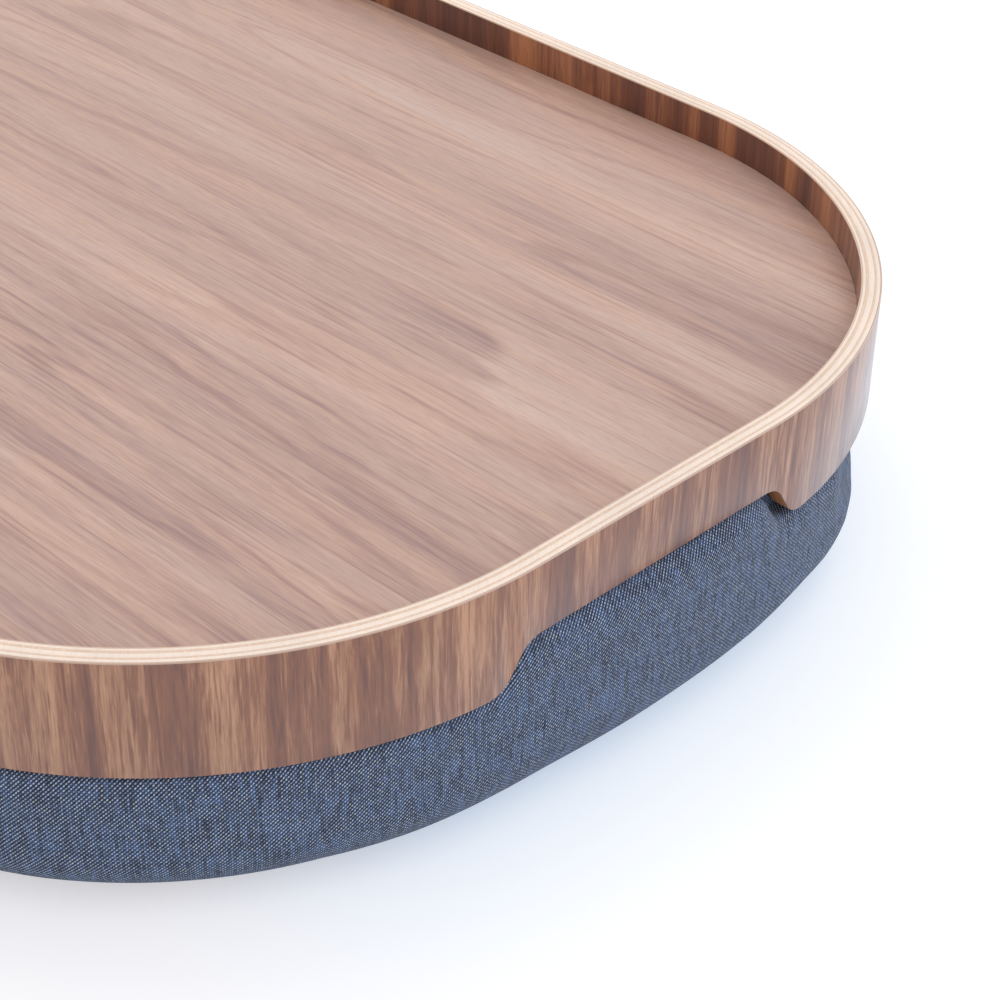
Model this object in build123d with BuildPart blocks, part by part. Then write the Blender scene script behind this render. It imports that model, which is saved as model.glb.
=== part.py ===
from build123d import *
from math import cos, radians, sin
import os

# A lap tray with a cushion. The origin is the middle of the cushion's flat underside.
# +X runs along the tray, +Y to the back and +Z up. All lengths are in millimetres.

# Driving dimensions: tray
tray_length = 520.0
tray_width = 360.0
corner_radius = 136.0
rim_thickness = 6.0
rim_height = 34.0
lip_height = 11.5
floor_thickness = 5.0
edge_ease = 0.3

# Driving dimensions: plies of the bent rim and of the floor panel
veneer = 0.5
rim_outer_ply_thickness = 1.1
rim_outer_cross_thickness = 0.6
rim_inner_cross_thickness = 0.9
rim_inner_ply_thickness = 0.8
floor_ply_thickness = 1.1
groove_depth = 0.9

# Driving dimensions: finger slots in the short ends of the rim
slot_height = 13.0
slot_top_width = 95.0
slot_slope_run = 8.4
slot_round = 8.5

# Driving dimensions: cushion
cushion_depth = 44.0
widest_height = 19.0
bulge = 0.8
turn_under = 25.0
shoulder_draw = 4.0
cushion_corner_extra = 4.0
end_bow = 2.0
flat_cut = 0.5
fabric = 0.8
liner = 0.6
bottom_seam_height = 2.0

# Driving dimensions: hook and loop strips
strip_length = 100.0
strip_width = 25.0
strip_thickness = 1.2
strip_pitch_x = 280.0
strip_pitch_y = 200.0

# Driving dimensions: zip in the back of the side band
zip_length = 180.0
zip_height = 27.0
tape_width = 4.6
tape_thickness = 0.8
tape_end = 5.0
tooth_pitch = 3.0
tooth_length = 1.5
tooth_reach = 1.6
tooth_thickness = 1.6
row_gap = 1.6
stop_length = 2.5
slider_length = 12.0
slider_width = 9.0
slider_plate = 1.2
slider_round = 2.0
slider_post_length = 2.5
slider_post_width = 1.0
flange_width = 1.0
lug_length = 3.0
lug_width = 1.6
pull_length = 22.0
pull_width = 6.0
pull_thickness = 1.2
pin_radius = 0.6
ear_thickness = 0.8
ear_radius = 1.3
pull_hole_radius = 1.2

# Clearances and the overrun of every cut
seat_clearance = 0.3
plug_clearance = 1.0
slider_clearance = 0.3
pin_clearance = 0.08
pocket_clearance = 0.8
overrun = 2.0

# Insets of the rim's layers from its outer face
outer_ply_inset = veneer
outer_cross_inset = outer_ply_inset + rim_outer_ply_thickness
core_inset = outer_cross_inset + rim_outer_cross_thickness
inner_veneer_inset = rim_thickness - veneer
inner_ply_inset = inner_veneer_inset - rim_inner_ply_thickness
inner_cross_inset = inner_ply_inset - rim_inner_cross_thickness
groove_inset = rim_thickness - groove_depth

# Heights, from the ground up
rim_bottom = cushion_depth
rim_top = rim_bottom + rim_height
floor_top = rim_top - lip_height
floor_bottom = floor_top - floor_thickness
upper_ply_top = floor_top - veneer
core_ply_top = upper_ply_top - floor_ply_thickness
lower_ply_bottom = floor_bottom + veneer
core_ply_bottom = lower_ply_bottom + floor_ply_thickness
hook_bottom = floor_bottom - strip_thickness
loop_top = hook_bottom - seat_clearance
cushion_top = loop_top - strip_thickness
shelf_height = rim_bottom - seat_clearance

os.makedirs("parts", exist_ok=True)


# Shared outlines

def tray_outline(inset, mode=Mode.ADD):
    """The tray's plan, a rectangle with round corners, drawn in by an inset."""
    length = tray_length - 2 * inset
    width = tray_width - 2 * inset
    RectangleRounded(length, width, corner_radius - inset, mode=mode)


def plate(inset, bottom, top):
    """A flat sheet that fills the tray's plan."""
    with BuildSketch(Plane.XY.offset(bottom)) as sheet:
        tray_outline(inset)
    extrude(sheet.sketch, amount=top - bottom)


def band(outer_inset, inner_inset, bottom, top, mode=Mode.ADD):
    """A closed strip that follows the tray's plan, between two insets and two heights."""
    with BuildSketch(Plane.XY.offset(bottom)) as strip:
        tray_outline(outer_inset)
        tray_outline(inner_inset, Mode.SUBTRACT)
    extrude(strip.sketch, amount=top - bottom, mode=mode)


# The finger slot's outline: a low trapezium, open at the rim's lower edge, with round corners.
# It runs on past both feet just under the rim, so that the feet come out rounded too.
slot_top_half = slot_top_width / 2
slot_foot_half = slot_top_half + slot_slope_run
slot_reach = slot_foot_half + slot_round
slot_points = [
    (-slot_reach, rim_bottom - overrun),
    (-slot_reach, rim_bottom),
    (-slot_foot_half, rim_bottom),
    (-slot_top_half, rim_bottom + slot_height),
    (slot_top_half, rim_bottom + slot_height),
    (slot_foot_half, rim_bottom),
    (slot_reach, rim_bottom),
    (slot_reach, rim_bottom - overrun),
]

with BuildSketch(Plane.YZ) as finger_slot:
    with BuildLine():
        Polyline(*slot_points, close=True)
    make_face()
    slot_corners = finger_slot.vertices().filter_by(lambda corner: abs(corner.X) < slot_reach - overrun)
    fillet(slot_corners, slot_round)


def cut_finger_slots():
    """Opens the slot in both short ends at once."""
    reach = tray_length / 2 + overrun
    extrude(finger_slot.sketch, amount=reach, both=True, mode=Mode.SUBTRACT)


# The cushion's form: a flat plug that fills the space under the tray's floor, and below the
# rim a stuffed body that bulges past it, turns under along a quarter ellipse and stands flat.
# Up from the widest line, each pair gives the share of the rise and the share of the draw-in.
under_angles = [90, 78, 64, 48, 32, 16, 0]
shoulder_shares = [(0.3, 0.02), (0.6, 0.1), (0.85, 0.35), (1.0, 1.0)]


def cushion_plan(height, spread):
    """The stuffed body's plan at one height, with short ends that bow out."""
    half_length = tray_length / 2 + spread
    half_width = tray_width / 2 + spread
    with BuildSketch(Plane.XY.offset(height)) as plan:
        with BuildLine():
            Line((-half_length, -half_width), (half_length, -half_width))
            ThreePointArc(
                (half_length, -half_width), (half_length + end_bow, 0), (half_length, half_width)
            )
            Line((half_length, half_width), (-half_length, half_width))
            ThreePointArc(
                (-half_length, half_width), (-half_length - end_bow, 0), (-half_length, -half_width)
            )
        make_face()
        fillet(plan.vertices(), corner_radius + cushion_corner_extra + spread)
    return plan.sketch


def cushion_solid(inset):
    """The whole stuffed form, drawn in by an inset on every side."""
    side = bulge - inset
    drop = widest_height + flat_cut - inset
    rise = shelf_height - widest_height - inset
    plans = []
    for angle in under_angles:
        turn = radians(angle)
        height = widest_height - drop * sin(turn)
        plans.append(cushion_plan(height, side - (turn_under - inset) * (1 - cos(turn))))
    for rise_share, draw_share in shoulder_shares:
        height = widest_height + rise * rise_share
        plans.append(cushion_plan(height, side - shoulder_draw * draw_share))
    with BuildPart() as form:
        loft(plans)
        with BuildSketch(Plane.XY.offset(shelf_height - inset)) as plug:
            tray_outline(rim_thickness + plug_clearance + inset)
        extrude(plug.sketch, amount=cushion_top - shelf_height)
        split(bisect_by=Plane.XY.offset(inset), keep=Keep.TOP)
    return form.part


cover_form = cushion_solid(0)
lining_form = cushion_solid(fabric)
stuffing_form = cushion_solid(fabric + liner)

# Places of the zip, on the outer face of the side band
band_face = tray_width / 2 + bulge
tape_outer = band_face
tape_inner = tape_outer - tape_thickness
tape_middle = tape_outer - tape_thickness / 2
tooth_outer = tape_middle + tooth_thickness / 2
tooth_inner = tape_middle - tooth_thickness / 2
plate_outer_bottom = tooth_outer + slider_clearance
plate_outer_top = plate_outer_bottom + slider_plate
plate_inner_top = tooth_inner - slider_clearance
plate_inner_bottom = plate_inner_top - slider_plate
tape_edge = row_gap / 2 + tooth_reach
window_half_height = tape_edge + tape_width
window_length = zip_length + 2 * (stop_length + tape_end)
slider_start = zip_length / 2 - slider_length / 2
pin_axis = plate_outer_top + ear_radius + slider_clearance


def zip_box(length, low, high, inner, outer, centre_x=0, mode=Mode.ADD):
    """A block along the zip, between two heights above its middle and two depths."""
    with BuildSketch(Plane.XY.offset(zip_height + low)) as foot:
        with Locations((centre_x, (inner + outer) / 2)):
            Rectangle(length, outer - inner)
    extrude(foot.sketch, amount=high - low, mode=mode)


def cut_zip_pocket(depth):
    """Room behind the zip's window for the slider's inner plate."""
    half_height = window_half_height + depth
    bottom = plate_inner_bottom - pocket_clearance - depth
    zip_box(window_length + 2 * depth, -half_height, half_height, bottom, band_face + overrun,
            mode=Mode.SUBTRACT)


# Rim outer veneer
with BuildPart() as rim_outer_veneer:
    band(0, outer_ply_inset, rim_bottom, rim_top)
    cut_finger_slots()
    top_face = rim_outer_veneer.faces().sort_by(Axis.Z)[-1]
    chamfer(top_face.outer_wire().edges(), edge_ease)
rim_outer_veneer.part.label = "rim_outer_veneer"
export_step(rim_outer_veneer.part, "parts/rim_outer_veneer.step")

# Rim outer ply
with BuildPart() as rim_outer_ply:
    band(outer_ply_inset, outer_cross_inset, rim_bottom, rim_top)
    cut_finger_slots()
rim_outer_ply.part.label = "rim_outer_ply"
export_step(rim_outer_ply.part, "parts/rim_outer_ply.step")

# Rim outer cross ply
with BuildPart() as rim_outer_cross_ply:
    band(outer_cross_inset, core_inset, rim_bottom, rim_top)
    cut_finger_slots()
rim_outer_cross_ply.part.label = "rim_outer_cross_ply"
export_step(rim_outer_cross_ply.part, "parts/rim_outer_cross_ply.step")

# Rim core ply
with BuildPart() as rim_core_ply:
    band(core_inset, inner_cross_inset, rim_bottom, rim_top)
    cut_finger_slots()
rim_core_ply.part.label = "rim_core_ply"
export_step(rim_core_ply.part, "parts/rim_core_ply.step")

# Rim inner cross ply
with BuildPart() as rim_inner_cross_ply:
    band(inner_cross_inset, inner_ply_inset, rim_bottom, rim_top)
    cut_finger_slots()
rim_inner_cross_ply.part.label = "rim_inner_cross_ply"
export_step(rim_inner_cross_ply.part, "parts/rim_inner_cross_ply.step")

# Rim inner ply, with the groove that takes the floor panel's tongue
with BuildPart() as rim_inner_ply:
    band(inner_ply_inset, inner_veneer_inset, rim_bottom, rim_top)
    band(groove_inset, inner_veneer_inset + overrun, core_ply_bottom, core_ply_top,
         mode=Mode.SUBTRACT)
    cut_finger_slots()
rim_inner_ply.part.label = "rim_inner_ply"
export_step(rim_inner_ply.part, "parts/rim_inner_ply.step")

# Rim inner veneer above the floor panel's tongue
with BuildPart() as rim_inner_veneer:
    band(inner_veneer_inset, rim_thickness, core_ply_top, rim_top)
    top_face = rim_inner_veneer.faces().sort_by(Axis.Z)[-1]
    chamfer(top_face.inner_wires().edges(), edge_ease)
rim_inner_veneer.part.label = "rim_inner_veneer"
export_step(rim_inner_veneer.part, "parts/rim_inner_veneer.step")

# Rim inner veneer below the floor panel's tongue
with BuildPart() as rim_lower_inner_veneer:
    band(inner_veneer_inset, rim_thickness, rim_bottom, core_ply_bottom)
    cut_finger_slots()
rim_lower_inner_veneer.part.label = "rim_lower_inner_veneer"
export_step(rim_lower_inner_veneer.part, "parts/rim_lower_inner_veneer.step")

# Floor top veneer
with BuildPart() as floor_top_veneer:
    plate(rim_thickness, upper_ply_top, floor_top)
floor_top_veneer.part.label = "floor_top_veneer"
export_step(floor_top_veneer.part, "parts/floor_top_veneer.step")

# Floor upper ply
with BuildPart() as floor_upper_ply:
    plate(rim_thickness, core_ply_top, upper_ply_top)
floor_upper_ply.part.label = "floor_upper_ply"
export_step(floor_upper_ply.part, "parts/floor_upper_ply.step")

# Floor core ply, whose edge is the tongue
with BuildPart() as floor_core_ply:
    plate(groove_inset, core_ply_bottom, core_ply_top)
floor_core_ply.part.label = "floor_core_ply"
export_step(floor_core_ply.part, "parts/floor_core_ply.step")

# Floor lower ply
with BuildPart() as floor_lower_ply:
    plate(rim_thickness, lower_ply_bottom, core_ply_bottom)
floor_lower_ply.part.label = "floor_lower_ply"
export_step(floor_lower_ply.part, "parts/floor_lower_ply.step")

# Floor bottom veneer
with BuildPart() as floor_bottom_veneer:
    plate(rim_thickness, floor_bottom, lower_ply_bottom)
floor_bottom_veneer.part.label = "floor_bottom_veneer"
export_step(floor_bottom_veneer.part, "parts/floor_bottom_veneer.step")

# Hook strips under the floor panel
with BuildPart() as hook_strips:
    with BuildSketch(Plane.XY.offset(hook_bottom)):
        with GridLocations(strip_pitch_x, strip_pitch_y, 2, 2):
            Rectangle(strip_length, strip_width)
    extrude(amount=strip_thickness)
hook_strips.part.label = "hook_strips"
export_step(hook_strips.part, "parts/hook_strips.step")

# Loop strips on the cushion's top
with BuildPart() as loop_strips:
    with BuildSketch(Plane.XY.offset(cushion_top)):
        with GridLocations(strip_pitch_x, strip_pitch_y, 2, 2):
            Rectangle(strip_length, strip_width)
    extrude(amount=strip_thickness)
loop_strips.part.label = "loop_strips"
export_step(loop_strips.part, "parts/loop_strips.step")

# Cushion top panel
with BuildPart() as cushion_top_panel:
    add(cover_form)
    split(bisect_by=Plane.XY.offset(cushion_top - fabric), keep=Keep.TOP)
cushion_top_panel.part.label = "cushion_top_panel"
export_step(cushion_top_panel.part, "parts/cushion_top_panel.step")

# Cushion side band, with the window that the zip is sewn into
with BuildPart() as cushion_side_band:
    add(cover_form)
    add(lining_form, mode=Mode.SUBTRACT)
    split(bisect_by=Plane.XY.offset(cushion_top - fabric), keep=Keep.BOTTOM)
    split(bisect_by=Plane.XY.offset(bottom_seam_height), keep=Keep.TOP)
    zip_box(window_length, -window_half_height, window_half_height, tape_inner - overrun,
            tape_outer + overrun, mode=Mode.SUBTRACT)
cushion_side_band.part.label = "cushion_side_band"
export_step(cushion_side_band.part, "parts/cushion_side_band.step")

# Cushion bottom panel
with BuildPart() as cushion_bottom_panel:
    add(cover_form)
    add(lining_form, mode=Mode.SUBTRACT)
    split(bisect_by=Plane.XY.offset(bottom_seam_height), keep=Keep.BOTTOM)
cushion_bottom_panel.part.label = "cushion_bottom_panel"
export_step(cushion_bottom_panel.part, "parts/cushion_bottom_panel.step")

# Bead filling
with BuildPart() as bead_filling:
    add(stuffing_form)
    cut_zip_pocket(liner)
bead_filling.part.label = "bead_filling"
export_step(bead_filling.part, "parts/bead_filling.step")

# Bead liner, upper half of the inner bag
with BuildPart() as bead_liner_upper:
    add(lining_form)
    cut_zip_pocket(0)
    add(bead_filling.part, mode=Mode.SUBTRACT)
    split(bisect_by=Plane.XY.offset(widest_height), keep=Keep.TOP)
bead_liner_upper.part.label = "bead_liner_upper"
export_step(bead_liner_upper.part, "parts/bead_liner_upper.step")

# Bead liner, lower half of the inner bag
with BuildPart() as bead_liner_lower:
    add(lining_form)
    cut_zip_pocket(0)
    add(bead_filling.part, mode=Mode.SUBTRACT)
    split(bisect_by=Plane.XY.offset(widest_height), keep=Keep.BOTTOM)
bead_liner_lower.part.label = "bead_liner_lower"
export_step(bead_liner_lower.part, "parts/bead_liner_lower.step")

# Zip tapes, one above and one below the teeth
with BuildPart() as zip_tape_upper:
    zip_box(window_length, tape_edge, window_half_height, tape_inner, tape_outer)
zip_tape_upper.part.label = "zip_tape_upper"
export_step(zip_tape_upper.part, "parts/zip_tape_upper.step")

with BuildPart() as zip_tape_lower:
    zip_box(window_length, -window_half_height, -tape_edge, tape_inner, tape_outer)
zip_tape_lower.part.label = "zip_tape_lower"
export_step(zip_tape_lower.part, "parts/zip_tape_lower.step")

# Zip teeth, in two rows that are half a pitch apart
tooth_count = int((zip_length - tooth_pitch / 2 - tooth_length) / tooth_pitch) + 1
first_tooth = -zip_length / 2 + tooth_length / 2

with BuildPart() as zip_teeth_upper:
    for tooth in range(tooth_count):
        zip_box(tooth_length, row_gap / 2, tape_edge, tooth_inner, tooth_outer,
                first_tooth + tooth * tooth_pitch)
zip_teeth_upper.part.label = "zip_teeth_upper"
export_step(zip_teeth_upper.part, "parts/zip_teeth_upper.step")

with BuildPart() as zip_teeth_lower:
    for tooth in range(tooth_count):
        zip_box(tooth_length, -tape_edge, -row_gap / 2, tooth_inner, tooth_outer,
                first_tooth + (tooth + 1 / 2) * tooth_pitch)
zip_teeth_lower.part.label = "zip_teeth_lower"
export_step(zip_teeth_lower.part, "parts/zip_teeth_lower.step")

# Zip stops, a clip across both rows at each end
with BuildPart() as zip_stops:
    for end in (-1, 1):
        zip_box(stop_length, -tape_edge, tape_edge, tooth_inner, tooth_outer,
                end * (zip_length + stop_length) / 2)
zip_stops.part.label = "zip_stops"
export_step(zip_stops.part, "parts/zip_stops.step")

# Zip slider: two plates on a post between the rows, flanges over the teeth, and the pull's lug
with BuildPart() as zip_slider:
    half_width = slider_width / 2
    zip_box(slider_length, -half_width, half_width, plate_outer_bottom, plate_outer_top, slider_start)
    zip_box(slider_length, -half_width, half_width, plate_inner_bottom, plate_inner_top, slider_start)
    plate_corners = zip_slider.edges().filter_by(Axis.Y)
    fillet(plate_corners, slider_round)
    zip_box(slider_post_length, -slider_post_width / 2, slider_post_width / 2, plate_inner_top,
            plate_outer_bottom, slider_start)
    straight_length = slider_length - 2 * slider_round
    for low, high in ((half_width - flange_width, half_width), (-half_width, flange_width - half_width)):
        zip_box(straight_length, low, high, tape_outer + slider_clearance, plate_outer_bottom, slider_start)
        zip_box(straight_length, low, high, plate_inner_top, tape_inner - slider_clearance, slider_start)
    with BuildSketch(Plane.XY.offset(zip_height - lug_width / 2)) as lug:
        with Locations((slider_start, (plate_outer_top + pin_axis) / 2)):
            Rectangle(lug_length, pin_axis - plate_outer_top)
        with Locations((slider_start, pin_axis)):
            Circle(lug_length / 2)
            Circle(pin_radius + pin_clearance, mode=Mode.SUBTRACT)
    extrude(lug.sketch, amount=lug_width)
zip_slider.part.label = "zip_slider"
export_step(zip_slider.part, "parts/zip_slider.step")

# Zip pull: a pin through the lug, two ears and a flat tab with a hole near its end
ear_inner = lug_width / 2 + slider_clearance
ear_outer = ear_inner + ear_thickness
tab_start = lug_length / 2 + slider_clearance
ear_reach = tab_start + pull_width / 2
with BuildPart() as zip_pull:
    with BuildSketch(Plane.XY.offset(zip_height - ear_outer)) as pin:
        with Locations((slider_start, pin_axis)):
            Circle(pin_radius)
    extrude(pin.sketch, amount=2 * ear_outer)
    with BuildSketch(Plane.XY.offset(zip_height + ear_inner), Plane.XY.offset(zip_height - ear_outer)) as ears:
        with Locations((slider_start, pin_axis)):
            Circle(ear_radius)
        with Locations((slider_start - ear_reach / 2, pin_axis)):
            Rectangle(ear_reach, pull_thickness)
    extrude(ears.sketch, amount=ear_thickness)
    with BuildSketch(Plane.XZ.offset(-pin_axis + pull_thickness / 2)) as tab:
        with Locations((slider_start - tab_start - pull_length / 2, zip_height)):
            RectangleRounded(pull_length, pull_width, pull_width / 2 - edge_ease)
        with Locations((slider_start - tab_start - pull_length + pull_width / 2, zip_height)):
            Circle(pull_hole_radius, mode=Mode.SUBTRACT)
    extrude(tab.sketch, amount=-pull_thickness)
zip_pull.part.label = "zip_pull"
export_step(zip_pull.part, "parts/zip_pull.step")
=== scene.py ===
from math import atan2, cos, exp, pi, radians, sin, sqrt, tan

import bmesh
import bpy
import numpy as np
from bpy.props import FloatProperty, FloatVectorProperty, IntProperty, PointerProperty
from mathutils import Matrix, Vector


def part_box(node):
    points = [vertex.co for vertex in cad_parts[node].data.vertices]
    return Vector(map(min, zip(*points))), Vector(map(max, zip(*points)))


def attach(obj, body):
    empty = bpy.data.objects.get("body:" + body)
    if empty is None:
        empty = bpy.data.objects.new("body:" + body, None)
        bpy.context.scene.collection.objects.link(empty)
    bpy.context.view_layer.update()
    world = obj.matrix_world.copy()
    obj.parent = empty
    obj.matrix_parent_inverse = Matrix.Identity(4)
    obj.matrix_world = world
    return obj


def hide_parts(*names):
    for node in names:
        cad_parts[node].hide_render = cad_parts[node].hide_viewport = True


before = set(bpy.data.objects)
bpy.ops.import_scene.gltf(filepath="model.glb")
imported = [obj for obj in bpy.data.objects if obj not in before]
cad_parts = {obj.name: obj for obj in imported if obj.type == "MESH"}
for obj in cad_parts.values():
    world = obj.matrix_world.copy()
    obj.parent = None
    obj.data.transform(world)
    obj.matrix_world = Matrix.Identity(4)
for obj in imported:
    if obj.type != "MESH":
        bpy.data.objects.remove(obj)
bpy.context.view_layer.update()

bl_info = {
    "name": "Lap tray with cushion",
    "version": (1, 0, 0),
    "blender": (4, 5, 0),
    "location": "3D View > Sidebar > Lap Tray",
    "description": "Dresses a bent-ply lap tray and its bead-filled cushion",
    "category": "Add Mesh",
}

MM = 0.001
WHITE = (1.0, 1.0, 1.0, 1.0)
GREY = (0.5, 0.5, 0.5, 1.0)
BLACK = (0.0, 0.0, 0.0, 1.0)

# Level directions over the tray: away from its near corner, and towards its corner on the right
TO_FAR_END = (-0.69, 0.72, 0.0)
TO_RIGHT_CORNER = (0.75, 0.66, 0.0)

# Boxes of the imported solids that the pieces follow
RIM_LOW, RIM_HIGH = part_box("rim_outer_veneer")
FLOOR_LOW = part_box("floor_top_veneer")[0]
TONGUE_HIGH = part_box("floor_core_ply")[1]
PANEL_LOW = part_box("cushion_top_panel")[0]
TAPE_LOW, TAPE_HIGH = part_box("zip_tape_lower")
ZIP_MIDDLE = (TAPE_LOW.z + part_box("zip_tape_upper")[1].z) / 2


def colour_property(name, description, default):
    return FloatVectorProperty(name=name, description=description, subtype="COLOR", size=3,
                               min=0.0, max=1.0, default=default)


def length_property(name, description, default):
    return FloatProperty(name=name, description=description, unit="LENGTH", default=default)


class LapTraySizes(bpy.types.PropertyGroup):
    """Sizes of the rim"""
    length: length_property("Length", "Length over the rim", RIM_HIGH.x - RIM_LOW.x)
    width: length_property("Width", "Width over the rim", RIM_HIGH.y - RIM_LOW.y)
    corner_radius: length_property("Corner radius", "Radius of the rim's outer corners", 136 * MM)
    rim_thickness: length_property("Rim thickness", "Thickness of the bent plywood",
                                   FLOOR_LOW.x - RIM_LOW.x)
    slot_height: length_property("Slot height", "Height of a finger slot", 13 * MM)
    slot_top_half: length_property("Slot half width", "Half the width of a slot at its top", 47.5 * MM)
    slot_run: length_property("Slot slope", "Width of the slope at each end of a slot", 8.4 * MM)
    slot_round: length_property("Slot rounding", "Radius of a slot's round corners", 8.5 * MM)
    edge_round: length_property("Edge rounding", "Radius of the veneers' sanded edges", 0.2 * MM)
    ring_step: length_property("Ring step", "Distance between the rim's sections", 0.8 * MM)


class LapCushionSizes(bpy.types.PropertyGroup):
    """Sizes of the cushion"""
    widest_height: length_property("Widest height", "Height of the cushion's widest line", 19 * MM)
    side_spread: length_property("Back spread", "How far the cover's back stands past the rim", 0.8 * MM)
    slot_bulge: length_property("Slot bulge", "Extra swell where the slot leaves the cloth free", 4.0 * MM)
    slot_bulge_middle: length_property("Slot bulge middle", "Where along the end that swell is", 8 * MM)
    slot_bulge_half: length_property("Slot bulge half width", "Half width of that swell", 45 * MM)
    far_slot_gap: length_property("Slot gap", "How far the cloth stops before the slots' rear ends",
                                  4.5 * MM)
    turn_under: length_property("Turn under", "How far the lower edge is drawn in", 25 * MM)
    under_depth: length_property("Under depth", "Height of the curve below the widest line", 20 * MM)
    station_step: length_property("Station step", "Distance between the cover's columns", 2.6 * MM)
    fine_step: length_property("Fine step", "The same where the slots slope", 0.6 * MM)
    thread_pitch: length_property("Thread pitch", "Distance between two threads", 0.6 * MM)
    swell_limit: length_property("Swell limit", "How far the stuffing may push the cloth", 2.2 * MM)
    swell_pressure: FloatProperty(name="Pressure", description="Pressure of the stuffing", default=4.0)
    swell_frames: IntProperty(name="Frames", description="Steps of the cloth's swelling", default=12)
    net_step: length_property("Net step", "Distance between the columns of the swelling net", 10 * MM)
    net_rows: IntProperty(name="Net rows", description="Cover rows to one of the net", default=2)


class LapZipSizes(bpy.types.PropertyGroup):
    """Sizes of the sewn zip"""
    hem_half: length_property("Hem half width", "Half the gap between the two hems", 5.2 * MM)
    hem_end: length_property("Hem end", "Tape hidden past each end of the gap", 2.0 * MM)
    recess: length_property("Recess", "Depth of the room behind the teeth", 3.4 * MM)
    stitch_pitch: length_property("Stitch pitch", "Distance between two stitches", 3.0 * MM)
    stitch_length: length_property("Stitch length", "Length of a stitch", 2.3 * MM)
    stitch_radius: length_property("Stitch radius", "Radius of the sewing thread", 0.22 * MM)
    stitch_inset: length_property("Stitch inset", "Distance of the stitches from the hem", 1.8 * MM)


class LapTrayColours(bpy.types.PropertyGroup):
    """Colours of the finishes"""
    floor_light: colour_property("Floor light", "Pale streaks of the floor", (0.64, 0.45, 0.355))
    floor_mid: colour_property("Floor middle", "Main tone of the floor", (0.51, 0.324, 0.249))
    floor_dark: colour_property("Floor dark", "Dark streaks of the floor", (0.32, 0.188, 0.165))
    rim_light: colour_property("Rim light", "Honey bands of the rim", (0.55, 0.27, 0.14))
    rim_mid: colour_property("Rim middle", "Main tone of the rim", (0.295, 0.111, 0.051))
    rim_dark: colour_property("Rim dark", "Dark bands of the rim", (0.175, 0.062, 0.036))
    rim_lip: colour_property("Rim lip", "Sanded top edge of the rim's veneer", (0.62, 0.41, 0.29))
    wall_light: colour_property("Wall light", "Orange streaks of the inner wall", (0.44, 0.18, 0.08))
    wall_mid: colour_property("Wall middle", "Main tone of the inner wall", (0.20, 0.073, 0.042))
    wall_dark: colour_property("Wall dark", "Dark bands of the inner wall", (0.11, 0.042, 0.028))
    ply_face: colour_property("Face ply", "Edge of the plies that run along the rim", (0.885, 0.725, 0.59))
    ply_cross: colour_property("Cross ply", "Edge of the plies that stand upright", (0.765, 0.55, 0.40))
    cloth_ground: colour_property("Ground", "Dark threads of the cushion", (0.027, 0.038, 0.074))
    cloth_heather: colour_property("Heather", "Blue streaks of the cushion", (0.068, 0.118, 0.235))
    cloth_dots: colour_property("Dots", "Pale threads of the cushion", (0.41, 0.445, 0.53))
    lining: colour_property("Lining", "Plain cloth of the cushion's top", (0.03, 0.03, 0.034))
    stage: colour_property("Stage", "Floor under the tray, as it lights the tray", (0.86, 0.94, 1.0))


# Small tools

class Value:
    """What a node gives out, for use in plain sums."""

    def __init__(self, nodes, socket):
        self.nodes = nodes
        self.socket = socket

    def __add__(self, other):
        return self.nodes.math("ADD", self, other)

    def __sub__(self, other):
        return self.nodes.math("SUBTRACT", self, other)

    def __rsub__(self, other):
        return self.nodes.math("SUBTRACT", other, self)

    def __mul__(self, other):
        return self.nodes.math("MULTIPLY", self, other)

    def __truediv__(self, other):
        return self.nodes.math("DIVIDE", self, other)

    def __rtruediv__(self, other):
        return self.nodes.math("DIVIDE", other, self)


class Nodes:
    """Adds and joins nodes in one tree."""

    def __init__(self, tree):
        self.tree = tree

    def feed(self, socket, value):
        if isinstance(value, Value):
            self.tree.links.new(value.socket, socket)
        else:
            socket.default_value = value

    def fill(self, sockets, values):
        for key, value in values.items():
            self.feed(sockets[key], value)

    def add(self, kind, inputs=None, **settings):
        node = self.tree.nodes.new(kind)
        for name, value in settings.items():
            setattr(node, name, value)
        self.fill(node.inputs, inputs or {})
        return node

    def out(self, kind, inputs=None, output=0, **settings):
        return Value(self, self.add(kind, inputs, **settings).outputs[output])

    def math(self, operation, first, second=None, third=None, clamp=False):
        given = {i: value for i, value in enumerate((first, second, third)) if value is not None}
        return self.out("ShaderNodeMath", given, operation=operation, use_clamp=clamp)

    def vectors(self, operation, first, second):
        return self.out("ShaderNodeVectorMath", {0: first, 1: second}, operation=operation)

    def stretch(self, vector, scale):
        return self.vectors("MULTIPLY", vector, scale)

    def scaled(self, vector, level):
        return self.out("ShaderNodeVectorMath", {0: vector, 3: level}, operation="SCALE")

    def dot(self, place, way):
        return self.out("ShaderNodeVectorMath", {0: place, 1: way}, "Value", operation="DOT_PRODUCT")

    def split(self, vector):
        return [Value(self, part) for part in self.add("ShaderNodeSeparateXYZ", {0: vector}).outputs]

    def join(self, x=0.0, y=0.0, z=0.0):
        return self.out("ShaderNodeCombineXYZ", {0: x, 1: y, 2: z})

    def place(self):
        return self.out("ShaderNodeTexCoord", output="Object")

    def mix(self, factor, first, second, blend="MIX"):
        return self.out("ShaderNodeMix", {0: factor, 6: first, 7: second}, 2, data_type="RGBA",
                        blend_type=blend)

    def ramp(self, value, stops):
        """Goes softly from the third stop to the fourth as the value goes from the first to the second."""
        given = dict(enumerate((value, *stops)))
        return self.out("ShaderNodeMapRange", given, interpolation_type="SMOOTHSTEP")

    def noise(self, vector, scale=1.0, detail=2.0, roughness=0.5, distortion=0.0):
        return self.out("ShaderNodeTexNoise", {
            "Vector": vector, "Scale": scale, "Detail": detail, "Roughness": roughness,
            "Distortion": distortion})


def colour(value):
    return (*value, 1.0)


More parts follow.
